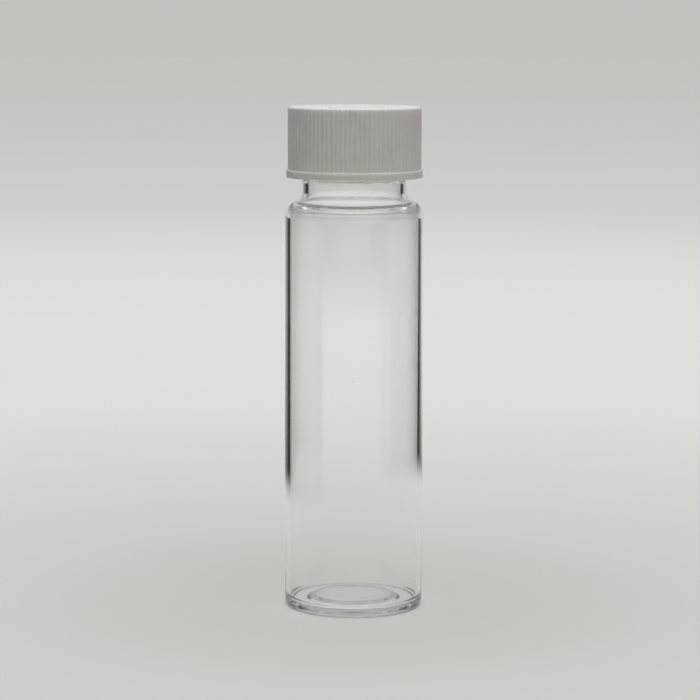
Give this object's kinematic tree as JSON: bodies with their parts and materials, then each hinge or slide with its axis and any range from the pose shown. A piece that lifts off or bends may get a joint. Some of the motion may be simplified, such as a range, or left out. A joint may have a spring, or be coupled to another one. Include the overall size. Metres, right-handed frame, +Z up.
{
  "type": "glass sample vial with screw cap",
  "caption": "Tall clear glass sample vial with a rounded shoulder, a threaded neck and a ribbed white screw cap over a sealing disc.",
  "frame": {"origin": "middle of the base, on the surface that the vial stands on", "axes": "+Z up along the vial's axis, towards the cap; +X to the right and +Y away in the front view"},
  "size_m": [0.0274, 0.0272, 0.0989],
  "materials": {
    "clear_glass": "clear, fire-polished, smooth",
    "white_plastic": "moulded polypropylene, fine satin, off-white",
    "liner_foam": "smooth foamed polyethylene disc"
  },
  "bodies": {
    "vial": {"glass_vial": "clear_glass"},
    "liner": {"cap_liner": "liner_foam"},
    "cap": {"screw_cap": "white_plastic"}
  },
  "joints": [
    {"name": "cap_lift", "type": "slide", "parent": "vial", "child": "liner", "axis": [0, 0, 1], "range_m": [0, 0.01588]},
    {"name": "cap_turn", "type": "hinge", "parent": "liner", "child": "cap", "pos_m": [0, 0, 0.0951], "axis": [0, 0, 1], "range_deg": [0, 1800]}
  ],
  "couplings": [
    {"joint": "cap_lift", "follows": "cap_turn", "m_per_rad": 0.00050531}
  ]
}
